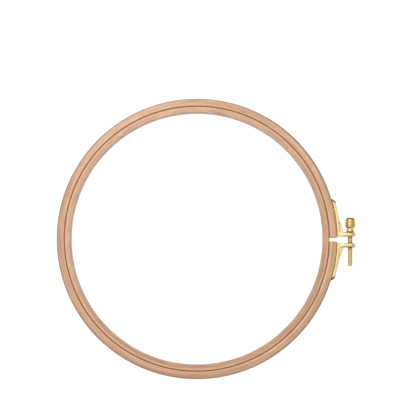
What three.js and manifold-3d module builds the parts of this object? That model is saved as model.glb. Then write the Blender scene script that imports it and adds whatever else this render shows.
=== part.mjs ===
// Embroidery hoop with a seam diameter of 190 mm. Two beech rings, one inside the other, clamp the cloth
// between them. The outer ring is split, and a brass thumb screw draws its two ends together through a
// bracket on each end. The hoop lies flat on z = 0 with the screw towards +X. Units are millimetres.
import * as THREE from "three";
import { mergeVertices } from "three/addons/utils/BufferGeometryUtils.js";
import Module from "manifold-3d";

// The two rings
const seamDiameter = 190; // where the rings meet and hold the cloth
const ringHeight = 9;
const innerRingThickness = 4.45;
const outerRingThickness = 5.6;
const ringClearance = 0.3; // between the two rings, all round
const innerRimRounding = 0.8; // inner ring, edges towards the opening
const seamRounding = 0.8; // both rings, edges at the seam
const outerRimRounding = 1.5; // outer ring, edges on the outside
const endGap = 2.9; // between the two ends of the outer ring
const halfGap = 0.3; // between the two halves of the outer ring, opposite the screw

// The brackets
const strapWidth = 7;
const strapThickness = 1.6;
const strapSeatGap = 0.15; // between strap and wood
const strapReach = 27.3; // along the wood, from the face of the ear to the far end
const strapBevel = 2.2; // length of the slope at the far end
const strapEdgeRounding = 0.2;
const ribWidth = 2.4;
const ribHeight = 0.75; // above the strap
const earSpacing = 4.6; // between the inner faces of the two ears
const earThickness = 3.1;
const earEndRadius = 4.2; // round end of the ear, about the screw
const gussetLength = 10.5; // along the strap, from the back of the ear
const gussetHeight = 3; // along the ear, from the face of the strap

// The thumb screw, with an M3.5 thread
const screwReach = 9.55; // from the outside of the outer ring to the axis of the screw
const threadRadius = 1.75;
const shankLength = 24.3; // from the back of the upper ear to the tip
const tipRounding = 0.6;
const holeClearance = 0.35; // round the shank, in both ears
const tiltRoom = 0.6; // extra length of the lower hole, for when the ear swings open
const collarRadius = 2.75;
const collarThickness = 1.5;
const collarGap = 0.3; // between collar and ear
const neckRadius = 2.35;
const neckLength = 1.4;
const headRadius = 3.4;
const headLength = 7.4;
const headRounding = 1.2;
const knurlPitch = 0.89; // from ridge to ridge round the head
const knurlDepth = 0.22;

// The pins that hold each bracket, one on each side of its rib
const pinRadius = 0.55;
const pinDepth = 3.8; // into the wood
const pinPointLength = 1.1;
const pinHeadRadius = 1;
const pinHeadHeight = 0.35;
const pinHeadFlat = 0.6; // radius of the flat on top of the head
const pinHeadGap = 0.08; // between pin head and strap
const pinClearance = 0.15; // round the pin, in strap and wood
const nearPinAt = 9.4; // along the strap, from the face of the ear
const farPinFromEnd = 5.2; // from the far end of the strap

// Fineness of the round stretches
const ringSegments = 120;
const roundingSteps = 1; // an arc gets twice as many straight pieces
const screwRoundingSteps = 2;
const ribSteps = 12; // along the rib
const holeSegments = 24;
const pinSegments = 10;

// What follows from the values above
const seamRadius = seamDiameter / 2;
const innerRingOutside = seamRadius - ringClearance / 2;
const innerRingInside = innerRingOutside - innerRingThickness;
const outerRingInside = seamRadius + ringClearance / 2;
const outerRingOutside = outerRingInside + outerRingThickness;
const middleHeight = ringHeight / 2;
const strapInside = outerRingOutside + strapSeatGap;
const strapOutside = strapInside + strapThickness;
const ribOutside = strapOutside + ribHeight;
const earFace = earSpacing / 2;
const earBack = earFace + earThickness;
const screwAxis = outerRingOutside + screwReach;
const holeRadius = threadRadius + holeClearance;
const knurlRidges = Math.round((2 * Math.PI * headRadius) / knurlPitch);
const pinSideways = (strapWidth + ribWidth) / 4; // from the middle of the strap to the middle of its flat
const hoopReach = screwAxis + earEndRadius; // from the middle of the rings to the end of the ears
const cutterSize = 3 * outerRingOutside;

const beech = new THREE.MeshStandardMaterial({ color: 0xd0a583, roughness: 0.6, metalness: 0 });
const brass = new THREE.MeshStandardMaterial({ color: 0xdcba68, roughness: 0.3, metalness: 1 });

const wasm = await Module();
wasm.setup();

// A closed geometry as a solid that can be joined and cut.
function solidOf(geometry) {
  const bare = geometry.clone();
  bare.deleteAttribute("normal");
  bare.deleteAttribute("uv");
  const merged = mergeVertices(bare, 1e-4);
  return new wasm.Manifold(
    new wasm.Mesh({
      numProp: 3,
      vertProperties: merged.attributes.position.array,
      triVerts: new Uint32Array(merged.index.array),
    }),
  );
}

function meshOf(name, solid, material) {
  const { vertProperties, triVerts } = solid.getMesh();
  const geometry = new THREE.BufferGeometry();
  geometry.setAttribute("position", new THREE.BufferAttribute(vertProperties, 3));
  geometry.setIndex(new THREE.BufferAttribute(triVerts, 1));
  geometry.computeVertexNormals();
  return namedMesh(name, geometry, material);
}

function namedMesh(name, geometry, material) {
  const mesh = new THREE.Mesh(geometry, material);
  mesh.name = name;
  return mesh;
}

// A block between two corners, for cutting.
function block(low, high) {
  const size = high.clone().sub(low);
  const middle = low.clone().add(high).multiplyScalar(0.5);
  const geometry = new THREE.BoxGeometry(size.x, size.y, size.z);
  return solidOf(geometry.translate(middle.x, middle.y, middle.z));
}

// An outline in X and Y as a slab of the given thickness about the middle height of the rings.
function slab(outline, thickness) {
  const geometry = new THREE.ExtrudeGeometry(new THREE.Shape(outline), {
    depth: thickness,
    bevelEnabled: false,
  });
  return solidOf(geometry.translate(0, 0, middleHeight - thickness / 2));
}

function onCircle(radius, angle) {
  return new THREE.Vector2(radius * Math.cos(angle), radius * Math.sin(angle));
}

// A ring about the Z axis with rounded edges.
function ring(inside, outside, low, high, insideRounding, outsideRounding) {
  const section = new THREE.Path();
  const right = Math.PI / 2;
  const corner = (radius, height, rounding, from) =>
    section.absarc(radius, height, rounding, from, from + right);
  corner(outside - outsideRounding, high - outsideRounding, outsideRounding, 0);
  corner(inside + insideRounding, high - insideRounding, insideRounding, right);
  corner(inside + insideRounding, low + insideRounding, insideRounding, 2 * right);
  corner(outside - outsideRounding, low + outsideRounding, outsideRounding, 3 * right);
  section.closePath();
  const geometry = new THREE.LatheGeometry(section.getPoints(roundingSteps), ringSegments);
  return solidOf(geometry.rotateX(right));
}

// Where a pin goes: its own Y axis points out of the wood, and its origin is on the face of the strap.
function pinPlace(along, sideways) {
  const angle = (earFace + along) / strapInside;
  const foot = onCircle(strapOutside + pinHeadGap, angle);
  return new THREE.Matrix4()
    .makeTranslation(foot.x, foot.y, middleHeight + sideways)
    .multiply(new THREE.Matrix4().makeRotationZ(angle - Math.PI / 2));
}

const pinPlaces = [
  pinPlace(nearPinAt, pinSideways),
  pinPlace(strapReach - farPinFromEnd, -pinSideways),
];

function pinGeometry() {
  const length = strapThickness + strapSeatGap + pinHeadGap + pinDepth;
  const side = [
    new THREE.Vector2(0, -length),
    new THREE.Vector2(pinRadius, pinPointLength - length),
    new THREE.Vector2(pinRadius, 0),
    new THREE.Vector2(pinHeadRadius, 0),
    new THREE.Vector2(pinHeadFlat, pinHeadHeight),
    new THREE.Vector2(0, pinHeadHeight),
  ];
  return new THREE.LatheGeometry(side, pinSegments);
}

// The holes for the pins of the upper bracket, through strap and wood.
function pinHoles() {
  const above = strapThickness;
  const below = strapThickness + strapSeatGap + pinHeadGap + pinDepth + pinClearance;
  const radius = pinRadius + pinClearance;
  const hole = new THREE.CylinderGeometry(radius, radius, above + below, pinSegments);
  hole.translate(0, (above - below) / 2, 0);
  return pinPlaces.map((place) => solidOf(hole.clone().applyMatrix4(place)));
}

// The upper half of the outer ring; the lower one is its mirror image.
function outerRingHalf() {
  const far = cutterSize / 2;
  const past = outerRingInside / 2; // both cutters reach past the middle, where there is no wood
  const whole = ring(
    outerRingInside,
    outerRingOutside,
    0,
    ringHeight,
    seamRounding,
    outerRimRounding,
  );
  const leftBelow = block(
    new THREE.Vector3(-far, -far, -far),
    new THREE.Vector3(past, halfGap / 2, far),
  );
  const rightBelow = block(
    new THREE.Vector3(-past, -far, -far),
    new THREE.Vector3(far, endGap / 2, far),
  );
  let half = whole.subtract(leftBelow).subtract(rightBelow);
  for (const hole of pinHoles()) half = half.subtract(hole);
  return half;
}

// The strap lies round the outside of the wood, from the face of the ear to a slope at its far end.
function strap() {
  const low = middleHeight - strapWidth / 2;
  const band = ring(
    strapInside,
    strapOutside,
    low,
    low + strapWidth,
    strapEdgeRounding,
    strapEdgeRounding,
  );
  return band.intersect(slab(strapExtent(strapInside - strapThickness), strapWidth));
}

// The outline that holds strap, rib and gusset: it starts at the face of the ear and ends in the slope.
function strapExtent(inside) {
  const farAngle = (earFace + strapReach) / strapInside;
  const slopeFoot = onCircle(strapInside, farAngle);
  const slopeTop = onCircle(ribOutside, farAngle - strapBevel / strapInside);
  const outwards = slopeTop.clone().sub(slopeFoot).setLength(gussetLength + gussetHeight);
  const inwards = outwards.clone().setLength(-strapThickness);
  const outer = slopeFoot.clone().add(outwards);
  const inner = slopeFoot.clone().add(inwards);
  return [
    new THREE.Vector2(inside, earFace),
    new THREE.Vector2(outer.x, earFace),
    outer,
    inner,
    new THREE.Vector2(inner.x - strapThickness, inner.y - strapThickness),
  ];
}

// The rib runs along the middle of the strap and rises into a gusset behind the ear.
function ribAndGusset() {
  const overlap = strapThickness / 2;
  const inside = strapOutside - overlap;
  const end = (earFace + strapReach) / strapInside;
  const gussetTop = new THREE.Vector2(
    Math.sqrt(strapOutside ** 2 - earBack ** 2) + gussetHeight,
    earBack,
  );
  const gussetFoot = (earBack + gussetLength) / ribOutside;
  const outline = [
    new THREE.Vector2(inside, earFace + overlap),
    new THREE.Vector2(gussetTop.x, earFace + overlap),
    gussetTop,
  ];
  for (let step = 0; step <= ribSteps; step++)
    outline.push(onCircle(ribOutside, THREE.MathUtils.lerp(gussetFoot, end, step / ribSteps)));
  for (let step = ribSteps; step > 0; step--)
    outline.push(onCircle(inside, (end * step) / ribSteps));
  return slab(outline, ribWidth).intersect(slab(strapExtent(strapInside), ribWidth));
}

// The ear is a plate across the end of the strap with a round end and a hole for the screw.
function ear(holeLength) {
  const outline = new THREE.Shape();
  const quarter = Math.PI / 2;
  outline.moveTo(strapInside + strapThickness / 2, earEndRadius);
  outline.lineTo(strapInside + strapThickness / 2, -earEndRadius);
  outline.absarc(screwAxis, 0, earEndRadius, -quarter, quarter);
  outline.closePath();
  const hole = new THREE.Path();
  hole.absarc(screwAxis + holeLength, 0, holeRadius, -quarter, quarter);
  hole.absarc(screwAxis, 0, holeRadius, quarter, 3 * quarter);
  hole.closePath();
  outline.holes.push(hole);
  const geometry = new THREE.ExtrudeGeometry(outline, {
    depth: earThickness,
    bevelEnabled: false,
    curveSegments: holeSegments / 4,
  });
  // The outline is drawn in X and Z; the plate's thickness runs along Y.
  return solidOf(geometry.rotateX(Math.PI / 2).translate(0, earBack, middleHeight));
}

function bracket(holeLength) {
  let body = strap().add(ribAndGusset()).add(ear(holeLength));
  for (const hole of pinHoles()) body = body.subtract(hole);
  return body;
}

// The screw stands along Y: tip, threaded shank, collar, neck and knurled head.
function thumbScrew() {
  const right = Math.PI / 2;
  const tip = earBack - shankLength;
  const collarLow = earBack + collarGap;
  const neckLow = collarLow + collarThickness;
  const headLow = neckLow + neckLength;
  const headHigh = headLow + headLength;
  const side = new THREE.Path();
  side.moveTo(0, tip);
  side.lineTo(threadRadius - tipRounding, tip);
  side.absarc(threadRadius - tipRounding, tip + tipRounding, tipRounding, -right, 0);
  side.lineTo(threadRadius, collarLow);
  side.lineTo(collarRadius, collarLow);
  side.lineTo(collarRadius, neckLow);
  side.lineTo(neckRadius, neckLow);
  side.lineTo(neckRadius, headLow);
  side.lineTo(headRadius - headRounding, headLow);
  side.absarc(headRadius - headRounding, headLow + headRounding, headRounding, -right, 0);
  side.lineTo(headRadius, headHigh - headRounding);
  side.absarc(headRadius - headRounding, headHigh - headRounding, headRounding, 0, right);
  side.lineTo(0, headHigh);
  const points = side.getPoints(screwRoundingSteps);
  const geometry = new THREE.LatheGeometry(points, 2 * knurlRidges);
  cutKnurl(geometry, points, headLow);
  return geometry;
}

// Draws every second line of points on the side of the head inwards, which leaves straight ridges.
function cutKnurl(geometry, points, headLow) {
  const position = geometry.attributes.position;
  for (let i = 0; i < position.count; i++) {
    const line = Math.floor(i / points.length);
    const point = points[i % points.length];
    const onHead = point.y > headLow + headRounding / 2 && point.x > headRadius - headRounding / 2;
    if (!onHead || line % 2 === 0) continue;
    const inward = (point.x - knurlDepth) / point.x;
    position.setX(i, position.getX(i) * inward);
    position.setZ(i, position.getZ(i) * inward);
  }
}

const hoop = new THREE.Group();
hoop.position.x = (outerRingOutside - hoopReach) / 2; // the middle of the overall length is at x = 0

const innerRing = ring(
  innerRingInside,
  innerRingOutside,
  0,
  ringHeight,
  innerRimRounding,
  seamRounding,
);
hoop.add(meshOf("inner_ring", innerRing, beech));

// The upper side, y > 0, and its mirror image.
for (const [side, mirror, holeLength] of [
  ["upper", 1, 0],
  ["lower", -1, tiltRoom],
]) {
  const half = new THREE.Group();
  half.scale.y = mirror;
  half.add(meshOf(`outer_ring_${side}_half`, outerRingHalf(), beech));
  half.add(meshOf(`${side}_bracket`, bracket(holeLength), brass));
  pinPlaces.forEach((place, index) => {
    const pin = namedMesh(`${side}_bracket_${["near", "far"][index]}_pin`, pinGeometry(), brass);
    pin.applyMatrix4(place);
    half.add(pin);
  });
  hoop.add(half);
}

const screw = namedMesh("thumb_screw", thumbScrew(), brass);
screw.position.set(screwAxis, 0, middleHeight);
hoop.add(screw);

const part = new THREE.Group();
part.add(hoop);
export default part;
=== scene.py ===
import math

import bmesh
import bpy
from mathutils import Matrix, Vector


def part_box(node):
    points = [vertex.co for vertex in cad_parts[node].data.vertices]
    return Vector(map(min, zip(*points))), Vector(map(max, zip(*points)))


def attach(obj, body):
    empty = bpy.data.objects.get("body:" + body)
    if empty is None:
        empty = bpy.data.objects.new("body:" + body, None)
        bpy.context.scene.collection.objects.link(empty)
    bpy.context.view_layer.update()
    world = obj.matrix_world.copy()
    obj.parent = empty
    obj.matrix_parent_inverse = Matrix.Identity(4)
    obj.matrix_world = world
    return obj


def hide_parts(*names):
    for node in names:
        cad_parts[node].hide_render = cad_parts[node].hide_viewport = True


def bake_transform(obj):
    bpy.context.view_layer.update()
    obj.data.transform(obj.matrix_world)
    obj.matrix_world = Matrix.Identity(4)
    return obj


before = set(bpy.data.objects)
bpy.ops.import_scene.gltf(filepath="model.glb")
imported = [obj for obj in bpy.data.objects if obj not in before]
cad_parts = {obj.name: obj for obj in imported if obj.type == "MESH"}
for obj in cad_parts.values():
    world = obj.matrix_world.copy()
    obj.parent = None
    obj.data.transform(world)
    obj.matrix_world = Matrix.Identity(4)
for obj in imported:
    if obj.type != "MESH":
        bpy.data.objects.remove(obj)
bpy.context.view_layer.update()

# Inner ring. A thin strip of beech, steamed, bent round and glued to itself in one slanting joint.
# It is sanded bare, with rounded edges, so that the cloth slides on. Only the outer ring holds it.
MM = 0.001  # the frame is in metres, and the sizes in this file are in millimetres
INNER_ROUNDINGS = ((0.6, 0.8), (0.9, 0.7))  # inside and outside: across the strip, down its side
INNER_CLOSES_SEAM_BY = 0.17  # the rings press on each other, and CAD leaves more room between them
ROUNDING_STEPS = 6
RING_STATIONS = 480  # sections round a whole ring
GLUED_JOINT_TURN = math.pi / 2  # it lies a quarter turn from the screw
GLUED_JOINT_LENGTH = 38.0
GLUE_LINE = (0.07, 0.06)  # how far from its middle it ends, and how far it is full

ring_low, ring_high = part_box("inner_ring")
hoop_x = (ring_low.x + ring_high.x) / 2  # where the axis of the rings is, in metres


def in_hoop(node):
    """The places of a CAD node's corners in millimetres, with the rings' axis as x = y = 0."""
    corners = [vertex.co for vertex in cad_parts[node].data.vertices]
    return [Vector((co.x - hoop_x, co.y, co.z)) / MM for co in corners]


def reach(node):
    """The least and the greatest distance of a CAD node from the axis of the rings."""
    distances = [math.hypot(co.x, co.y) for co in in_hoop(node)]
    return min(distances), max(distances)


def span(node, axis):
    """The lowest and the highest place of a CAD node along an axis: 0 is X, 1 is Y and 2 is Z."""
    places = [co[axis] for co in in_hoop(node)]
    return min(places), max(places)


ring_faces = span("inner_ring", 2)
middle_height = sum(ring_faces) / 2
inner_sides = reach("inner_ring")
inner_sides = (inner_sides[0], inner_sides[1] + INNER_CLOSES_SEAM_BY)


def strip_section(sides, roundings, inset=0.0):
    """A strip's outline across its length, as points of radius and height. Its corners are rounded
    on the inside and on the outside, and drawn in where it has an inset."""
    (inside, outside), (low, high) = sides, ring_faces
    inner, outer = roundings
    corners = (
        (outside - outer[0], high - outer[1], outer),
        (inside + inner[0], high - inner[1], inner),
        (inside + inner[0], low + inner[1], inner),
        (outside - outer[0], low + outer[1], outer),
    )
    points = []
    for quarter, (radius, height, rounding) in enumerate(corners):
        for step in range(ROUNDING_STEPS + 1):
            angle = (quarter + step / ROUNDING_STEPS) * math.pi / 2
            across = (rounding[0] - inset) * math.cos(angle)
            up = (rounding[1] - inset) * math.sin(angle)
            points.append((radius + across, height + up))
    return points


def bent_strip(name, stations, turn, sides, roundings, closed):
    """A strip bent round the axis of the rings, with a section at each station, which is an angle
    and an inset. Its angles are counted from the turn. Its corners hold where they are in the wood,
    as millimetres along the strip, through it and up, so that the grain follows the bend."""
    full = strip_section(sides, roundings)
    count = len(full)
    points = []
    for angle, inset in stations:
        x, y = math.cos(angle + turn), math.sin(angle + turn)
        for radius, height in strip_section(sides, roundings, inset):
            points.append((radius * x, radius * y, height))
    faces, woods = [], []
    for station in range(len(stations) if closed else len(stations) - 1):
        following = (station + 1) % len(stations)
        start = stations[station][0]
        end = stations[following][0] + (2 * math.pi if following < station else 0)
        near, far = station * count, following * count
        for point in range(count):
            after = (point + 1) % count
            faces.append((near + point, far + point, far + after, near + after))
            woods += [(start, point), (end, point), (end, after), (start, after)]
    if not closed:
        last = (len(stations) - 1) * count
        faces.append(tuple(range(count)))
        woods += [(stations[0][0], point) for point in range(count)]
        faces.append(tuple(last + point for point in reversed(range(count))))
        woods += [(stations[-1][0], point) for point in reversed(range(count))]
    mesh = bpy.data.meshes.new(name)
    mesh.from_pydata(points, [], faces)
    values = []
    for angle, point in woods:
        radius, height = full[point]
        values += [angle * sum(sides) / 2, radius - sides[0], height]
    mesh.attributes.new("wood", "FLOAT_VECTOR", "CORNER").data.foreach_set("vector", values)
    return mesh


def show(name, mesh, material, sharp_angle=35):
    """Puts a mesh given in millimetres about the rings' axis into the scene as a finished piece."""
    for vertex in mesh.vertices:
        vertex.co = vertex.co * MM + Vector((hoop_x, 0, 0))
    mesh.shade_smooth()
    mesh.set_sharp_from_angle(angle=math.radians(sharp_angle))
    mesh.materials.clear()
    mesh.materials.append(material)
    piece = bpy.data.objects.new(name, mesh)
    piece.modifiers.new("flat_faces_shade_flat", "WEIGHTED_NORMAL").keep_sharp = True
    bpy.context.scene.collection.objects.link(piece)
    return piece


def linear(hex_colour):
    """An sRGB hex colour as the linear colour that the shaders work with."""
    parts = [int(hex_colour[at : at + 2], 16) / 255 for at in (1, 3, 5)]
    return (*[p / 12.92 if p <= 0.04045 else ((p + 0.055) / 1.055) ** 2.4 for p in parts], 1)


def add_node(tree, kind, inputs=(), **settings):
    """Adds a shader node. A socket given as an input is linked, and anything else is its value."""
    node = tree.nodes.new("ShaderNode" + kind)
    for name, value in settings.items():
        setattr(node, name, value)
    for name, value in dict(inputs).items():
        if isinstance(value, bpy.types.NodeSocket):
            tree.links.new(value, node.inputs[name])
        else:
            node.inputs[name].default_value = value
    return node


def new_material(name):
    material = bpy.data.materials.new(name)
    material.use_nodes = True
    material.node_tree.nodes.clear()
    return material, material.node_tree


# Bare beech, sanded fine: a pale pinkish brown that spreads the light, with long even fibres, soft
# bands of yearly growth and the short dark flecks by which beech is known. It has no varnish and
# little gloss.
BEECH_IOR = 1.5
PALE_FIBRE_ROUGHNESS = 0.27
DARK_FIBRE_ROUGHNESS = 0.41
FIBRE_RELIEF = 0.03
FIBRE_RELIEF_STRENGTH = 0.6
NOISE_LOW, NOISE_HIGH = 0.3, 0.7  # nearly all of a noise lies between these
FINE_GRAIN_SHARE = 0.55  # how strongly the finer detail of a mark counts
GOLDEN_BEECH = "#d4aa7c"
# Each mark: its length along the strip, its width, its detail, and where its noise starts.
BEECH_GRAIN = {
    "growth_bands": (80.0, 1.9, 1.0, 3.0),
    "patches": (45.0, 30.0, 2.0, 7.0),
    "golden_streaks": (20.0, 3.2, 1.0, 23.0),
    "fibres": (16.0, 0.6, 3.0, 11.0),  # real ones are finer than 0.1 mm, too fine to show
    "flecks": (2.6, 0.32, 0.0, 17.0),
}
# Each tint, here and in the wear and painted light of the strips: its colour, its share where it
# is full, and what it follows, each with the value where it isn't seen yet and the value where it
# is full.
SEAM_WEAR_AND_PAINTED_LIGHT = (
    # beside the seam, a painted highlight, where each strip is also rubbed pale by the other
    ("#f2cdab", 0.6, ("from_seam", 2.0, 0.0)),
    # the groove of the seam holds dust and shade
    ("#9a5a2a", 0.85, ("from_seam", 0.8, 0.1), ("from_face", 1.6, 0.9)),
)


def beech(name, pale, deep, fleck, seed, sides, wear_and_painted_light, grain=BEECH_GRAIN, glued=False):
    """The beech of a strip between two radii. The glued strip is the inner one, so that the seam
    between the rings is on its outside."""
    material, tree = new_material(name)
    wood = add_node(tree, "Attribute", attribute_name="wood").outputs["Vector"]
    along, through, up = add_node(tree, "SeparateXYZ", {0: wood}).outputs
    thickness = sides[1] - sides[0]
    opposite = add_node(tree, "Math", {0: thickness, 1: through}, operation="SUBTRACT").outputs[0]
    from_face = add_node(tree, "Math", {0: up, 1: middle_height}, operation="PINGPONG")
    followed = {
        "from_seam": opposite if glued else through,
        "from_rim": through if glued else opposite,
        "from_face": from_face.outputs[0],
    }
    if glued:  # the joint slants through the strip, and beyond it is the strip's other end
        around = math.pi * sum(sides)
        slant = thickness / GLUED_JOINT_LENGTH
        near = {0: along, 1: around / 2, 2: -around / 2}
        near = add_node(tree, "Math", near, operation="WRAP").outputs[0]
        joint = {0: near, 1: slant, 2: thickness / 2}
        joint = add_node(tree, "Math", joint, operation="MULTIPLY_ADD").outputs[0]
        beyond = add_node(tree, "Math", {0: through, 1: joint}, operation="SUBTRACT").outputs[0]
        other_end = add_node(tree, "Math", {0: beyond, 1: 0.0}, operation="GREATER_THAN")
        along = {0: other_end.outputs[0], 1: around, 2: near}
        along = add_node(tree, "Math", along, operation="MULTIPLY_ADD").outputs[0]
        wood = add_node(tree, "CombineXYZ", {"X": along, "Y": through, "Z": up}).outputs[0]
        from_joint = add_node(tree, "Math", {0: beyond}, operation="ABSOLUTE")
        followed["from_joint"] = from_joint.outputs[0]
    else:
        from_middle = add_node(tree, "Math", {0: along}, operation="ABSOLUTE")
        followed["from_middle"] = from_middle.outputs[0]
    for mark, (length, width, detail, start) in grain.items():
        scale = (1 / length, 1 / width, 1 / width)
        place = {"Vector": wood, "Location": (start, seed, 0.0), "Scale": scale}
        place = add_node(tree, "Mapping", place).outputs[0]
        noise = {"Vector": place, "Scale": 1.0, "Detail": detail, "Roughness": FINE_GRAIN_SHARE}
        followed[mark] = add_node(tree, "TexNoise", noise).outputs[0]
    tints = (
        (deep, 1.0, ("growth_bands", 0.42, 0.58)),
        (deep, 0.5, ("patches", 0.35, 0.65)),
        (GOLDEN_BEECH, 0.7, ("golden_streaks", 0.46, 0.6)),
        (fleck, 0.7, ("fibres", 0.47, 0.7)),
        (fleck, 0.5, ("flecks", 0.66, 0.74)),
        *wear_and_painted_light,
    )
    colour = linear(pale)
    for tint, share, *limits in tints:
        for follows, none_at, full_at in limits:
            seen = {"Value": followed[follows], "From Min": none_at, "From Max": full_at}
            seen = add_node(tree, "MapRange", seen).outputs[0]
            share = add_node(tree, "Math", {0: seen, 1: share}, operation="MULTIPLY").outputs[0]
        mix = {0: share, 6: colour, 7: linear(tint)}
        colour = add_node(tree, "Mix", mix, data_type="RGBA").outputs[2]
    roughness = {
        "Value": followed["fibres"],
        "From Min": NOISE_LOW,
        "From Max": NOISE_HIGH,
        "To Min": PALE_FIBRE_ROUGHNESS,
        "To Max": DARK_FIBRE_ROUGHNESS,
    }
    relief = {
        "Strength": FIBRE_RELIEF_STRENGTH,
        "Distance": FIBRE_RELIEF * MM,
        "Height": followed["fibres"],
    }
    surface = {
        "Base Color": colour,
        "Roughness": add_node(tree, "MapRange", roughness).outputs[0],
        "IOR": BEECH_IOR,
        "Normal": add_node(tree, "Bump", relief).outputs[0],
    }
    surface = add_node(tree, "BsdfPrincipled", surface)
    add_node(tree, "OutputMaterial", {"Surface": surface.outputs[0]})
    return material


inner_beech = beech(
    "beech_inner_strip",
    "#d8ae92",
    "#c29270",
    "#a06d46",
    seed=4.0,
    sides=inner_sides,
    wear_and_painted_light=(
        *SEAM_WEAR_AND_PAINTED_LIGHT,
        # the inner edges are tinted grey: painted shade and sheen on their rounding
        ("#c0ab98", 0.4, ("from_rim", 1.3, 0.0)),
        # the line of glue
        ("#8a5f3c", 1.0, ("from_joint", *GLUE_LINE)),
    ),
    glued=True,
)
around_once = [(2 * math.pi * i / RING_STATIONS, 0.0) for i in range(RING_STATIONS)]
mesh = bent_strip(
    "inner_ring_strip", around_once, GLUED_JOINT_TURN, inner_sides, INNER_ROUNDINGS, closed=True
)
inner_ring = show("sanded_inner_ring", mesh, inner_beech)
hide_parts("inner_ring")
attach(inner_ring, "inner_ring")

# Outer ring. One springy strip of beech, bent round the inner ring and sawn through at the screw.
# Here it is two halves that meet opposite the screw: the upper one keeps still on the upper half,
# and the lower one is in no body, with its place baked into its mesh. The whole strip bends open
# along its length when the screw is undone.
OUTER_ROUNDINGS = ((1.2, 0.7), (1.5, 1.5))
OUTER_CLOSES_SEAM_BY = 0.03
SAWN_END_ROUNDING = 0.3
SAWN_END_STEPS = 4
STRAP_SHADE_LENGTH = 25.0  # along each strap
STRAP_SHADE_FADE = 2.0
END_GRAIN_DEPTH = 0.7
SAWN_END_GRAIN = {"pores": (0.3, 0.3, 1.0, 29.0)}  # real ones are under 0.1 mm, too fine to show

outer_sides = reach("outer_ring_upper_half")
outer_sides = (outer_sides[0] - OUTER_CLOSES_SEAM_BY, outer_sides[1])
outer_middle = sum(outer_sides) / 2
split_face = min(co.y for co in in_hoop("outer_ring_upper_half") if co.x > 0)

# Angles are counted from the joint opposite the screw, so that the grain runs on from half to half.
half_way = math.pi - split_face / outer_middle
sawn_at = half_way * outer_middle
warm_shade_from = sawn_at - STRAP_SHADE_LENGTH
grey_shade_to = warm_shade_from - STRAP_SHADE_FADE
end_grain_from = sawn_at - END_GRAIN_DEPTH
outer_edge = (("from_rim", 2.4, 0.0), ("from_face", 2.6, 1.2))
outer_beech = beech(
    "beech_outer_strip",
    "#e6bb9a",
    "#cb956c",
    "#ab7850",
    seed=31.0,
    sides=outer_sides,
    wear_and_painted_light=(
        *SEAM_WEAR_AND_PAINTED_LIGHT,
        # painted shade tints the outer edges grey, and a warmer golden brown along the brass straps
        ("#8b857a", 0.75, *outer_edge, ("from_middle", warm_shade_from, grey_shade_to)),
        ("#c8a664", 0.75, *outer_edge, ("from_middle", grey_shade_to, warm_shade_from)),
        # painted shade greys the sawn ends, and their open grain shows dark pores
        ("#8b857a", 0.7, ("from_middle", end_grain_from, sawn_at)),
        ("#57402c", 0.42, ("pores", 0.5, 0.62), ("from_middle", end_grain_from, sawn_at)),
    ),
    grain=BEECH_GRAIN | SAWN_END_GRAIN,
)

rounding_angle = SAWN_END_ROUNDING / outer_middle
for side, mirror in (("upper", -1), ("lower", 1)):
    stations = []
    for i in range(RING_STATIONS // 2 + 1):
        stations.append((mirror * (half_way - rounding_angle) * 2 * i / RING_STATIONS, 0.0))
    for step in range(1, SAWN_END_STEPS + 1):
        turn = step / SAWN_END_STEPS * math.pi / 2
        angle = half_way - rounding_angle * (1 - math.sin(turn))
        stations.append((mirror * angle, SAWN_END_ROUNDING * (1 - math.cos(turn))))
    if mirror < 0:
        stations.reverse()
    mesh = bent_strip(
        f"outer_ring_{side}_strip", stations, math.pi, outer_sides, OUTER_ROUNDINGS, closed=False
    )
    half = show(f"sanded_outer_ring_{side}_half", mesh, outer_beech)
    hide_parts(f"outer_ring_{side}_half")
    if side == "upper":
        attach(half, "upper_half")
    else:
        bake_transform(half)

# Brackets. One on each sawn end of the outer ring: a brass strap round the outside of the wood,
# which turns out into an ear for the screw. Each is cast in one piece with the rib and the gusset
# on its back, plated and polished bright. Its far end is filed to a slope.
STRAP_SEAT_GAP = 0.15
STRAP_THICKNESS = 1.6
STRAP_HALF_WIDTH = 3.5
STRAP_EDGE_ROUNDING = 0.35
STRAP_SLOPE = 1.5  # how long the slope is
STRAP_SLOPE_FOOT = 0.3  # what is left of its thickness at the very end
STRAP_END_CORNER = 1.6  # how far its far corners are rounded off
MOST_OF_EDGE_ROUNDED = 0.9  # as a share, where the plate is thin
EAR_THICKNESS = 3.1
EAR_EDGE_ROUNDING = 0.9
EAR_HALF_WIDTH = 4.2
EAR_FLARE_LENGTH = 2.4  # over which the plate widens from the strap to the ear
EAR_END_TURN = math.radians(88)  # just under a quarter, so that the end has a width
BEND_INSIDE = 1.1
BEND_OUTSIDE = 0.8
SLOPE_STEPS = 16
STRAP_STEPS = 24
BEND_STEPS = 12
FLARE_STEPS = 6
EAR_STEPS = 18
PLATE_ROUNDING_STEPS = 4
RIB_HALF_WIDTH = 1.2
RIB_HEIGHT = 0.75
RIB_EDGE_ROUNDING = 0.35
RIB_FOOT_FROM_END = 0.4  # as a share of the strap's slope
RIB_STEPS = 14
RIB_FOOT_STEPS = 20
GUSSET_LENGTH = 10.5
GUSSET_HEIGHT = 3.0
SCREW_HOLE_RADIUS = 1.95
SCREW_HOLE_CHAMFER = 0.25
SCREW_HOLE_TILT_ROOM = 0.6  # the lower hole is longer, for the ear's tilt when the hoop opens
SCREW_HOLE_PAST_EAR = 1.0  # how far what is cut out stands past both faces
SCREW_HOLE_STEPS = 24
SAME_POINT = 0.0005  # points nearer to each other than this are joined

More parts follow.
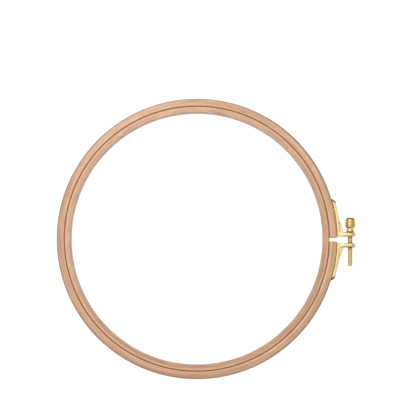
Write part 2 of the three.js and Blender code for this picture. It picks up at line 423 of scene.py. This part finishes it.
strap_inside = outer_sides[1] + STRAP_SEAT_GAP
strap_outside = strap_inside + STRAP_THICKNESS
ear_face, strap_end = span("upper_bracket", 1)
strap_end_angle = math.asin(strap_end / strap_inside)
slope_angle = STRAP_SLOPE / strap_inside
ear_back = ear_face + EAR_THICKNESS
ear_end = span("upper_bracket", 0)[1]
screw_axis = ear_end - EAR_HALF_WIDTH


def on_circle(radius, angle):
    return Vector((radius * math.cos(angle), radius * math.sin(angle)))


def plate_rails():
    """The plate's two sides as pairs of points in X and Y, from the far end of the strap to the
    round end of the ear. With each pair go the half width there and how far it is past the axis of
    the screw."""
    rails = []
    corner_angle = STRAP_END_CORNER / strap_inside
    for step in range(SLOPE_STEPS + 1):  # the slope at the far end, and its rounded corners
        up_slope = 1 - math.cos(step / SLOPE_STEPS * math.pi / 2)
        angle = strap_end_angle - slope_angle * up_slope
        past_corner = min(1, (strap_end_angle - angle) / corner_angle)
        narrower = STRAP_END_CORNER * (1 - math.sqrt(past_corner * (2 - past_corner)))
        thickness = STRAP_SLOPE_FOOT + (STRAP_THICKNESS - STRAP_SLOPE_FOOT) * up_slope
        inner, outer = on_circle(strap_inside, angle), on_circle(strap_inside + thickness, angle)
        rails.append((inner, outer, STRAP_HALF_WIDTH - narrower, 0.0))
    bend_y = ear_back + BEND_INSIDE
    bend_angle = math.asin(bend_y / strap_outside)
    bend_x = strap_outside * math.cos(bend_angle) + BEND_INSIDE
    start_angle = strap_end_angle - slope_angle
    for step in range(1, STRAP_STEPS + 1):
        angle = start_angle + (bend_angle - start_angle) * step / STRAP_STEPS
        inner, outer = on_circle(strap_inside, angle), on_circle(strap_outside, angle)
        rails.append((inner, outer, STRAP_HALF_WIDTH, 0.0))
    corner_y = ear_face + BEND_OUTSIDE
    corner_x = math.sqrt(strap_inside**2 - corner_y**2) + BEND_OUTSIDE
    third = BEND_STEPS // 3
    for step in range(1, BEND_STEPS + 1):  # a fillet outside, and a round corner at the split
        turn = step / BEND_STEPS * math.pi / 2
        outer = Vector((bend_x, bend_y)) - BEND_INSIDE * Vector((math.cos(turn), math.sin(turn)))
        if step <= third:
            y = bend_y + (corner_y - bend_y) * step / third
            inner = Vector((math.sqrt(strap_inside**2 - y**2), y))
        elif step <= 2 * third:
            turn = (step - third) / third * math.pi / 2
            inner = Vector((corner_x, corner_y))
            inner -= BEND_OUTSIDE * Vector((math.cos(turn), math.sin(turn)))
        else:
            x = corner_x + (bend_x - corner_x) * (step - 2 * third) / third
            inner = Vector((x, ear_face))
        rails.append((inner, outer, STRAP_HALF_WIDTH, 0.0))
    for step in range(1, FLARE_STEPS + 1):
        share = step / FLARE_STEPS
        eased = share * share * (3 - 2 * share)
        half_width = STRAP_HALF_WIDTH + (EAR_HALF_WIDTH - STRAP_HALF_WIDTH) * eased
        x = bend_x + EAR_FLARE_LENGTH * share
        rails.append((Vector((x, ear_face)), Vector((x, ear_back)), half_width, 0.0))
    for step in range(EAR_STEPS + 1):
        past_axis = EAR_HALF_WIDTH * math.sin(EAR_END_TURN * step / EAR_STEPS)
        x = screw_axis + past_axis
        rails.append((Vector((x, ear_face)), Vector((x, ear_back)), EAR_HALF_WIDTH, past_axis))
    return rails


def skin(rings):
    """A closed solid over a row of rings that have as many points each."""
    solid = bmesh.new()
    loops = [[solid.verts.new(point) for point in ring] for ring in rings]
    for first, second in zip(loops, loops[1:]):
        for point in range(len(first)):
            after = (point + 1) % len(first)
            solid.faces.new((first[point], second[point], second[after], first[after]))
    solid.faces.new(reversed(loops[0]))
    solid.faces.new(loops[-1])
    bmesh.ops.remove_doubles(solid, verts=solid.verts, dist=SAME_POINT)
    bmesh.ops.recalc_face_normals(solid, faces=solid.faces)
    return solid


def plate(rails):
    """The strap and the ear as one solid with rounded edges, a section for each pair of points."""
    rings = []
    for inner, outer, half_width, past_axis in rails:
        half_thickness = (outer - inner).length / 2
        outwards = (outer - inner).normalized()
        at_ear = min(1, max(0, (inner.x - strap_outside) / EAR_FLARE_LENGTH))
        rounding = STRAP_EDGE_ROUNDING + (EAR_EDGE_ROUNDING - STRAP_EDGE_ROUNDING) * at_ear
        rounding = min(rounding, half_thickness * MOST_OF_EDGE_ROUNDED)
        ring = []
        for quarter, (side, level) in enumerate(((1, 1), (-1, 1), (-1, -1), (1, -1))):
            for step in range(PLATE_ROUNDING_STEPS + 1):
                angle = (quarter + step / PLATE_ROUNDING_STEPS) * math.pi / 2
                reached = half_width - rounding + rounding * abs(math.cos(angle))
                if past_axis < reached:
                    sideways = math.sqrt(reached**2 - past_axis**2)
                    up = half_thickness - rounding + rounding * abs(math.sin(angle))
                else:
                    sideways = 0.0
                    over = past_axis - (half_width - rounding)
                    up = half_thickness - rounding + math.sqrt(rounding**2 - over**2)
                place = (inner + outer) / 2 + outwards * level * up
                ring.append(Vector((place.x, place.y, middle_height + side * sideways)))
        rings.append(ring)
    return skin(rings)


def rib():
    """The rib on the back of the strap, and the gusset that it rises into."""
    foot = strap_inside + STRAP_THICKNESS / 2
    top = strap_outside + RIB_HEIGHT
    inside_ear = ear_face + EAR_THICKNESS / 2
    near_top = math.asin((ear_back + GUSSET_LENGTH) / top)
    far_top = strap_end_angle - slope_angle * (STRAP_THICKNESS + RIB_HEIGHT) / STRAP_THICKNESS
    near_foot = ear_back / foot
    far_foot = strap_end_angle - slope_angle * RIB_FOOT_FROM_END
    outline = [
        Vector((foot, inside_ear)),
        Vector((strap_outside + GUSSET_HEIGHT, inside_ear)),
        Vector((strap_outside + GUSSET_HEIGHT, ear_back)),
    ]
    for step in range(RIB_STEPS + 1):
        outline.append(on_circle(top, near_top + (far_top - near_top) * step / RIB_STEPS))
    outline.append(on_circle(strap_inside + STRAP_SLOPE_FOOT, far_foot))
    for step in range(1, RIB_FOOT_STEPS + 1):
        outline.append(on_circle(foot, far_foot + (near_foot - far_foot) * step / RIB_FOOT_STEPS))
    rings = []
    for height, inset in (
        (-RIB_HALF_WIDTH, RIB_EDGE_ROUNDING),
        (-RIB_HALF_WIDTH + RIB_EDGE_ROUNDING, 0.0),
        (RIB_HALF_WIDTH - RIB_EDGE_ROUNDING, 0.0),
        (RIB_HALF_WIDTH, RIB_EDGE_ROUNDING),
    ):
        rings.append([(point.x - inset, point.y, middle_height + height) for point in outline])
    return skin(rings)


def screw_hole(tilt_room):
    """What the hole for the screw takes out of the ear, with a chamfer at both faces."""
    rings = []
    for y, wider in (
        (ear_face - SCREW_HOLE_PAST_EAR, SCREW_HOLE_PAST_EAR + SCREW_HOLE_CHAMFER),
        (ear_face + SCREW_HOLE_CHAMFER, 0),
        (ear_back - SCREW_HOLE_CHAMFER, 0),
        (ear_back + SCREW_HOLE_PAST_EAR, SCREW_HOLE_PAST_EAR + SCREW_HOLE_CHAMFER),
    ):
        ring = []
        for step in range(SCREW_HOLE_STEPS):
            angle = 2 * math.pi * (step + 0.5) / SCREW_HOLE_STEPS
            x = screw_axis + (SCREW_HOLE_RADIUS + wider) * math.sin(angle)
            if math.sin(angle) > 0:
                x += tilt_room
            ring.append((x, y, middle_height + (SCREW_HOLE_RADIUS + wider) * math.cos(angle)))
        rings.append(ring)
    return skin(rings)


def combined(first, second, operation):
    """Joins a solid with another, or cuts it with that, and gives back the result."""
    both = []
    for solid in (first, second):
        mesh = bpy.data.meshes.new("solid")
        solid.to_mesh(mesh)
        both.append(bpy.data.objects.new("solid", mesh))
        bpy.context.scene.collection.objects.link(both[-1])
    modifier = both[0].modifiers.new("combined", "BOOLEAN")
    modifier.operation = operation
    modifier.solver = "EXACT"
    modifier.object = both[1]
    result = bmesh.new()
    result.from_object(both[0], bpy.context.evaluated_depsgraph_get())
    for made in both:
        bpy.data.objects.remove(made)
    bmesh.ops.remove_doubles(result, verts=result.verts, dist=SAME_POINT)
    return result


# Polished brass plate: a pale clear yellow, nearly a mirror, with a faint cloudiness from handling.
# It is dark brown along the slope at its far end, where it was cut off and filed.
ROUGHNESS_VARIES_BY = (-0.05, 0.09)  # on clear brass and on clouded brass
SMUDGE_SIZE = 2.5
SMUDGES_START = 0.35  # in the noise that they follow
SMUDGE_SHARE = 0.7
BAND_SHARE = 0.85
POLISHING_MARK_WIDTH = 0.35  # real polishing marks are too fine to show
POLISHING_MARK_LENGTH = 5.0
POLISHING_MARK_DEPTH = 0.004


def brass(name, bright, cloudy, roughness, edge="#ffffff", stains_and_painted_light=()):
    """Each band of stain or painted light is its colour, how far along Y its middle is from the
    split, half its width, by how much it nears the split for each step along X, and the X from
    which on it shows."""
    material, tree = new_material(name)
    place = add_node(tree, "TexCoord").outputs["Object"]
    smudges = {"Vector": place, "Scale": 1 / (SMUDGE_SIZE * MM), "Detail": 3.0, "Roughness": 0.6}
    smudges = add_node(tree, "TexNoise", smudges).outputs[0]
    clouded = {
        "Value": smudges,
        "From Min": SMUDGES_START,
        "From Max": NOISE_HIGH,
        "To Max": SMUDGE_SHARE,
    }
    clouded = add_node(tree, "MapRange", clouded).outputs[0]
    mix = {0: clouded, 6: linear(bright), 7: linear(cloudy)}
    colour = add_node(tree, "Mix", mix, data_type="RGBA").outputs[2]
    for band_colour, middle, half_width, lean, from_x in stains_and_painted_light:
        x, y, z = add_node(tree, "SeparateXYZ", {0: place}).outputs
        from_split = add_node(tree, "Math", {0: y}, operation="ABSOLUTE").outputs[0]
        away = {0: x, 1: lean, 2: from_split}
        away = add_node(tree, "Math", away, operation="MULTIPLY_ADD").outputs[0]
        away = add_node(tree, "Math", {0: away, 1: middle * MM}, operation="SUBTRACT").outputs[0]
        away = add_node(tree, "Math", {0: away}, operation="ABSOLUTE").outputs[0]
        share = {
            "Value": away,
            "From Min": half_width * MM,
            "From Max": half_width * MM / 2,
            "To Max": BAND_SHARE,
        }
        share = add_node(tree, "MapRange", share).outputs[0]
        beyond = add_node(tree, "Math", {0: x, 1: from_x * MM}, operation="GREATER_THAN").outputs[0]
        share = add_node(tree, "Math", {0: share, 1: beyond}, operation="MULTIPLY").outputs[0]
        mix = {0: share, 6: colour, 7: linear(band_colour)}
        colour = add_node(tree, "Mix", mix, data_type="RGBA").outputs[2]
    rough = {
        "Value": smudges,
        "From Min": NOISE_LOW,
        "From Max": NOISE_HIGH,
        "To Min": roughness + ROUGHNESS_VARIES_BY[0],
        "To Max": roughness + ROUGHNESS_VARIES_BY[1],
    }
    across, along = 1 / (POLISHING_MARK_WIDTH * MM), 1 / (POLISHING_MARK_LENGTH * MM)
    marks = add_node(tree, "Mapping", {"Vector": place, "Scale": (across, along, across)})
    marks = {"Vector": marks.outputs[0], "Scale": 1.0, "Detail": 2.0}
    marks = add_node(tree, "TexNoise", marks).outputs[0]
    relief = {"Strength": 1.0, "Distance": POLISHING_MARK_DEPTH * MM, "Height": marks}
    surface = {
        "Base Color": colour,
        "Metallic": 1.0,
        "Roughness": add_node(tree, "MapRange", rough).outputs[0],
        "Specular Tint": linear(edge),
        "Normal": add_node(tree, "Bump", relief).outputs[0],
    }
    surface = add_node(tree, "BsdfPrincipled", surface)
    add_node(tree, "OutputMaterial", {"Surface": surface.outputs[0]})
    return material


FILED_END_HALF_WIDTH = 2.1
EAR_SHADE_HALF_WIDTH = 0.8  # where a band of painted shade lies along the back of the ear
EAR_SHADE_BEHIND_EAR = 0.1
EAR_SHADE_LENGTH = 9.5

slope_foot = on_circle(strap_inside, strap_end_angle)
slope_top = on_circle(strap_outside, strap_end_angle - slope_angle)
slope_lean = (slope_foot.y - slope_top.y) / (slope_top.x - slope_foot.x)
slope_middle = slope_foot.y + slope_lean * (slope_foot.x + hoop_x / MM)
ear_shade_middle = ear_back + EAR_SHADE_BEHIND_EAR
ear_shaded_from = ear_end - EAR_SHADE_LENGTH + hoop_x / MM
bracket_brass = brass(
    "polished_brass_plate",
    "#efdfab",
    "#dfc681",
    roughness=0.36,
    stains_and_painted_light=(
        ("#4c3c18", slope_middle, FILED_END_HALF_WIDTH, slope_lean, 0.0),
        # painted shade along the back of each ear, by the collar and the gusset
        ("#98823c", ear_shade_middle, EAR_SHADE_HALF_WIDTH, 0.0, ear_shaded_from),
    ),
)

for side, mirror, tilt_room in (("upper", 1, 0.0), ("lower", -1, SCREW_HOLE_TILT_ROOM)):
    casting = combined(plate(plate_rails()), rib(), "UNION")
    casting = combined(casting, screw_hole(tilt_room), "DIFFERENCE")
    for vertex in casting.verts:
        vertex.co.y *= mirror
    if mirror < 0:
        bmesh.ops.reverse_faces(casting, faces=casting.faces)
    mesh = bpy.data.meshes.new(f"{side}_bracket_casting")
    casting.to_mesh(mesh)
    bracket = show(f"cast_{side}_bracket", mesh, bracket_brass)
    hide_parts(f"{side}_bracket")
    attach(bracket, f"{side}_half")

# Bracket pins. Four small brass nails with domed heads hold the straps on the wood, two for each,
# one on either side of the rib. They are driven through holes in the strap and hold by friction in
# the beech.
PIN_RADIUS = 0.55
PIN_POINT_LENGTH = 1.1
PIN_POINT_RADIUS = 0.06
PIN_HEAD_GAP = 0.08
PIN_HEAD_RADIUS = 1.0
PIN_HEAD_RIM = 0.08
PIN_DOME_TURN = math.radians(84)  # short of a quarter, so that the top is a small flat
PIN_DOME_STEPS = 8
PIN_SEGMENTS = 24


def turned(outline, foot, along, segments, cut=None):
    """A solid turned about a line: a ring of points for each pair of place along the line and
    radius. A cut gives the radius that is left at a place and an angle."""
    upright = Vector((0, 0, 1))
    across = along.cross(upright)
    rings = []
    for place, radius in outline:
        ring = []
        for step in range(segments):
            angle = 2 * math.pi * step / segments
            left = min(radius, cut(place, angle)) if cut else radius
            from_line = (upright * math.cos(angle) + across * math.sin(angle)) * left
            ring.append(foot + along * place + from_line)
        rings.append(ring)
    return skin(rings)


# Drawn brass wire, a little redder than the plate, with its head struck bright in the die.
pin_brass = brass("drawn_brass_wire", "#ead692", "#cfb870", roughness=0.28)

pin_seat = strap_outside + PIN_HEAD_GAP
for side in ("upper", "lower"):
    for where in ("near", "far"):
        node = f"{side}_bracket_{where}_pin"
        corners = in_hoop(node)
        middle = sum(corners, Vector()) / len(corners)
        tip, head = reach(node)
        outline = [
            (tip, PIN_POINT_RADIUS),
            (tip + PIN_POINT_LENGTH, PIN_RADIUS),
            (pin_seat, PIN_RADIUS),
            (pin_seat, PIN_HEAD_RADIUS),
        ]
        for step in range(PIN_DOME_STEPS + 1):
            turn = PIN_DOME_TURN * step / PIN_DOME_STEPS
            rise = PIN_HEAD_RIM + (head - pin_seat - PIN_HEAD_RIM) * math.sin(turn)
            outline.append((pin_seat + rise, PIN_HEAD_RADIUS * math.cos(turn)))
        foot = Vector((0, 0, sum(span(node, 2)) / 2))
        along = Vector((middle.x, middle.y, 0)).normalized()
        mesh = bpy.data.meshes.new(f"{node}_nail")
        turned(outline, foot, along, PIN_SEGMENTS).to_mesh(mesh)
        pin = show(f"nail_in_{side}_strap_{where}", mesh, pin_brass)
        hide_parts(node)
        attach(pin, f"{side}_half")

# Thumb screw. Turned from one brass rod: a head knurled with straight ridges, a neck, and a collar
# that bears on the upper ear. The shank goes through that ear, and its M3.5 thread draws up the
# lower ear.
THREAD_RADIUS = 1.75
THREAD_PITCH = 0.6
THREAD_DEPTH = 0.24
THREAD_ROWS = 8  # for each turn
THREAD_SEGMENTS = 48
THREAD_TIP_ROUNDING = 0.6
COLLAR_GAP = 0.3
COLLAR_RADIUS = 2.75
COLLAR_THICKNESS = 1.5
COLLAR_ROUNDING = 0.25
CORNER_STEPS = 6
NECK_RADIUS = 2.35
NECK_FILLET = 0.35
NECK_FILLET_STEPS = 4
HEAD_LENGTH = 7.4
HEAD_RADIUS = 3.4
HEAD_FOOT_TAPER = (1.4, 0.8)  # how long it is along the screw, and how much radius it takes away
HEAD_FOOT_STEPS = 10
HEAD_SIDE_STEPS = 6
HEAD_TOP_TAPER = (2.2, 0.75)
HEAD_TOP_STEPS = 15
HEAD_TOP_ROUNDING = 0.4
HEAD_DOME = 0.25
HEAD_DOME_STEPS = 8
KNURL_RIDGES = 24
KNURL_DEPTH = 0.13
KNURL_STEPS = 4  # for each ridge

screw_tip, screw_top = span("thumb_screw", 1)
screw_line = Vector((screw_axis, 0, middle_height))
up_screw = Vector((0, 1, 0))
collar_foot = ear_back + COLLAR_GAP
collar_top = collar_foot + COLLAR_THICKNESS
head_foot = screw_top - HEAD_LENGTH


def rounded_corner(place, radius, rounding, towards):
    """The points of a quarter round on an outline. It goes from an end face to the side where
    towards is 1, and from the side to an end face where it is -1."""
    points = []
    for step in range(CORNER_STEPS + 1):
        turn = step / CORNER_STEPS * math.pi / 2
        inwards = rounding * (1 - math.sin(turn))
        onwards = rounding * (1 - math.cos(turn))
        points.append((place + towards * onwards, radius - inwards))
    return points if towards > 0 else points[::-1]


def thread(place, angle):
    phase = place / THREAD_PITCH - angle / (2 * math.pi)
    return THREAD_RADIUS - THREAD_DEPTH * (0.5 - 0.5 * math.cos(2 * math.pi * phase))


def knurl(place, angle):
    across_ridge = angle / (2 * math.pi) * KNURL_RIDGES % 1
    return HEAD_RADIUS - KNURL_DEPTH * abs(2 * across_ridge - 1)


# Turned brass: warmer than the plated brackets, with fine rings from the tool that blur what it
# mirrors. A highlight is painted on the neck, and shade on its top and at the collar's foot.
NECK_HIGHLIGHT_MIDDLE = 7.6  # from the split
NECK_HIGHLIGHT_HALF_WIDTH = 1.9
TOP_SHADE_HALF_WIDTH = 1.6
COLLAR_SHADE_HALF_WIDTH = 0.9
turned_brass = brass(
    "turned_brass",
    "#dcc27a",
    "#bd9f52",
    roughness=0.42,
    # its edge colour darkens what it mirrors at grazing angles, a painted dark reflection
    edge="#7a6030",
    stains_and_painted_light=(
        ("#f6d9a8", NECK_HIGHLIGHT_MIDDLE, NECK_HIGHLIGHT_HALF_WIDTH, 0.0, 0.0),
        ("#5c4c1e", screw_top, TOP_SHADE_HALF_WIDTH, 0.0, 0.0),
        ("#5c4c1e", ear_back, COLLAR_SHADE_HALF_WIDTH, 0.0, 0.0),
    ),
)
# Thread cut by a die: the same brass, duller with oil and dust, banded with painted shade.
THREAD_SHADE_HALF_WIDTH = 0.7  # where it passes the faces of the ears
thread_brass = brass(
    "die_cut_brass_thread",
    "#ecdaae",
    "#d4bb86",
    roughness=0.36,
    # its edge colour is a milder painted dark reflection at grazing angles
    edge="#b89a5a",
    stains_and_painted_light=[("#94793f", y, THREAD_SHADE_HALF_WIDTH, 0.0, 0.0) for y in (ear_face, ear_back)],
)

shank = rounded_corner(screw_tip, THREAD_RADIUS, THREAD_TIP_ROUNDING, 1)
row = THREAD_PITCH / THREAD_ROWS
rows = int((collar_foot - screw_tip - THREAD_TIP_ROUNDING) / row) + 1
shank += [(screw_tip + THREAD_TIP_ROUNDING + i * row, THREAD_RADIUS) for i in range(1, rows + 1)]
mesh = bpy.data.meshes.new("thumb_screw_shank")
turned(shank, screw_line, up_screw, THREAD_SEGMENTS, thread).to_mesh(mesh)
threaded_shank = show("threaded_shank", mesh, thread_brass, sharp_angle=60)
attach(threaded_shank, "thumb_screw")

outline = rounded_corner(collar_foot, COLLAR_RADIUS, COLLAR_ROUNDING, 1)
outline += rounded_corner(collar_top, COLLAR_RADIUS, COLLAR_ROUNDING, -1)
for step in range(NECK_FILLET_STEPS + 1):
    turn = step / NECK_FILLET_STEPS * math.pi / 2
    place = collar_top + NECK_FILLET * (1 - math.cos(turn))
    outline.append((place, NECK_RADIUS + NECK_FILLET * (1 - math.sin(turn))))
for step in range(NECK_FILLET_STEPS + 1):
    turn = step / NECK_FILLET_STEPS * math.pi / 2
    place = head_foot - NECK_FILLET * (1 - math.sin(turn))
    outline.append((place, NECK_RADIUS + NECK_FILLET * (1 - math.cos(turn))))
foot_length, foot_taper = HEAD_FOOT_TAPER
for step in range(HEAD_FOOT_STEPS + 1):
    turn = step / HEAD_FOOT_STEPS * math.pi / 2
    place = head_foot + foot_length * (1 - math.cos(turn))
    outline.append((place, HEAD_RADIUS - foot_taper * (1 - math.sin(turn))))
top_length, top_taper = HEAD_TOP_TAPER
straight_from = head_foot + foot_length
straight_to = screw_top - HEAD_DOME - top_length
for step in range(1, HEAD_SIDE_STEPS):
    place = straight_from + (straight_to - straight_from) * step / HEAD_SIDE_STEPS
    outline.append((place, HEAD_RADIUS))
for step in range(HEAD_TOP_STEPS):
    turn = step / HEAD_TOP_STEPS * math.pi / 2
    place = straight_to + (top_length - HEAD_TOP_ROUNDING) * math.sin(turn)
    outline.append((place, HEAD_RADIUS - top_taper * (1 - math.cos(turn))))
top_radius = HEAD_RADIUS - top_taper
outline += rounded_corner(screw_top - HEAD_DOME, top_radius, HEAD_TOP_ROUNDING, -1)
for step in range(1, HEAD_DOME_STEPS):
    out = 1 - step / HEAD_DOME_STEPS
    outline.append((screw_top - HEAD_DOME * out * out, (top_radius - HEAD_TOP_ROUNDING) * out))
mesh = bpy.data.meshes.new("thumb_screw_head")
turned(outline, screw_line, up_screw, KNURL_RIDGES * KNURL_STEPS, knurl).to_mesh(mesh)
knurled_head = show("knurled_head_and_collar", mesh, turned_brass, sharp_angle=50)
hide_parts("thumb_screw")
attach(knurled_head, "thumb_screw")

# Floor, light and camera. The hoop lies on a white table, in soft light that comes mostly from
# overhead. One large lamp at the upper left gives the wood its highlights and the hoop its shadow.
LENS_DISTANCE = 1100.0  # from the upper faces of the rings
FRAME_WIDTH = 287.2  # what the picture's 400 pixels span at the upper faces of the rings
PICTURE = 400
HOOP_MIDDLE_IN_PICTURE = (196.7, 238.05)
CAMERA_LEAN = (0.8, -3.5)  # degrees that it leans right and up, so that it sees the hoop's walls
CAMERA_TURN = math.radians(0.6)
SKY_OVERHEAD = 0.93
SKY_AT_HORIZON = 0.42
SKY_FOCUS = 3.0  # the higher, the more the light gathers overhead
LAMP_PLACE = (-0.17, 0.26, 0.51)  # in metres, as the lamp's size and the table's
LAMP_SIZE = 0.55
LAMP_ENERGY = 2.1
TABLE_SIZE = 12
TABLE_BELOW = 0.2  # so that it isn't at one height with the undersides of the rings
TABLE_ALBEDO = 0.35
TABLE_ROUGHNESS = 0.9
TABLE_GLOW = 0.9  # what the camera and the brass see of it besides, so that it looks white

camera_data = bpy.data.cameras.new("camera")
camera = bpy.data.objects.new("camera", camera_data)
bpy.context.scene.collection.objects.link(camera)
bpy.context.scene.camera = camera
camera_data.lens = camera_data.sensor_width * LENS_DISTANCE / FRAME_WIDTH
per_pixel = FRAME_WIDTH / PICTURE
right_of_middle = (HOOP_MIDDLE_IN_PICTURE[0] - PICTURE / 2) * per_pixel * MM
above_middle = (PICTURE / 2 - HOOP_MIDDLE_IN_PICTURE[1]) * per_pixel * MM
right = Vector((math.cos(CAMERA_TURN), math.sin(CAMERA_TURN), 0))
up = Vector((-math.sin(CAMERA_TURN), math.cos(CAMERA_TURN), 0))
aimed_at = Vector((hoop_x, 0, ring_high.z)) - right * right_of_middle - up * above_middle
lean_right, lean_up = (math.radians(lean) for lean in CAMERA_LEAN)
backwards = right * math.sin(lean_right) + up * math.sin(lean_up)
backwards.z = math.sqrt(1 - backwards.length_squared)
camera.location = aimed_at + backwards * LENS_DISTANCE * MM
sideways = (right - backwards * backwards.dot(right)).normalized()
upwards = backwards.cross(sideways)
camera.rotation_euler = Matrix((sideways, upwards, backwards)).transposed().to_euler()

world = bpy.data.worlds.new("soft_light")
bpy.context.scene.world = world
world.use_nodes = True
sky = world.node_tree
sky.nodes.clear()
direction = add_node(sky, "TexCoord").outputs["Generated"]
steepness = add_node(sky, "SeparateXYZ", {0: direction}).outputs["Z"]
above = add_node(sky, "Math", {0: steepness, 1: 0.0}, operation="MAXIMUM").outputs[0]
gathered = add_node(sky, "Math", {0: above, 1: SKY_FOCUS}, operation="POWER").outputs[0]
strength = {"Value": gathered, "To Min": SKY_AT_HORIZON, "To Max": SKY_OVERHEAD}
strength = add_node(sky, "MapRange", strength).outputs[0]
background = add_node(sky, "Background", {"Color": (1, 1, 1, 1), "Strength": strength})
add_node(sky, "OutputWorld", {"Surface": background.outputs[0]})

lamp_data = bpy.data.lights.new("window", "AREA")
lamp_data.size = LAMP_SIZE
lamp_data.energy = LAMP_ENERGY
lamp = bpy.data.objects.new("window", lamp_data)
lamp.location = LAMP_PLACE
lamp.rotation_euler = Vector(LAMP_PLACE).to_track_quat("Z", "Y").to_euler()
bpy.context.scene.collection.objects.link(lamp)

# White laminate: matt and even, and bright to the camera.
table, tree = new_material("white_table")
ray = add_node(tree, "LightPath").outputs
seen = {0: ray["Is Camera Ray"], 1: ray["Is Glossy Ray"]}
seen = add_node(tree, "Math", seen, operation="MAXIMUM").outputs[0]
seen = {0: seen, 1: ray["Is Transmission Ray"]}
seen = add_node(tree, "Math", seen, operation="MAXIMUM").outputs[0]
glow = add_node(tree, "Math", {0: seen, 1: TABLE_GLOW}, operation="MULTIPLY").outputs[0]
surface = {
    "Base Color": (TABLE_ALBEDO, TABLE_ALBEDO, TABLE_ALBEDO, 1),
    "Roughness": TABLE_ROUGHNESS,
    "Emission Color": (1, 1, 1, 1),
    "Emission Strength": glow,
}
surface = add_node(tree, "BsdfPrincipled", surface)
add_node(tree, "OutputMaterial", {"Surface": surface.outputs[0]})
bpy.ops.mesh.primitive_plane_add(size=TABLE_SIZE, location=(0, 0, -TABLE_BELOW * MM))
floor = bpy.context.object
floor.name = "table"
floor.data.materials.append(table)

bpy.context.scene.view_settings.view_transform = "Standard"
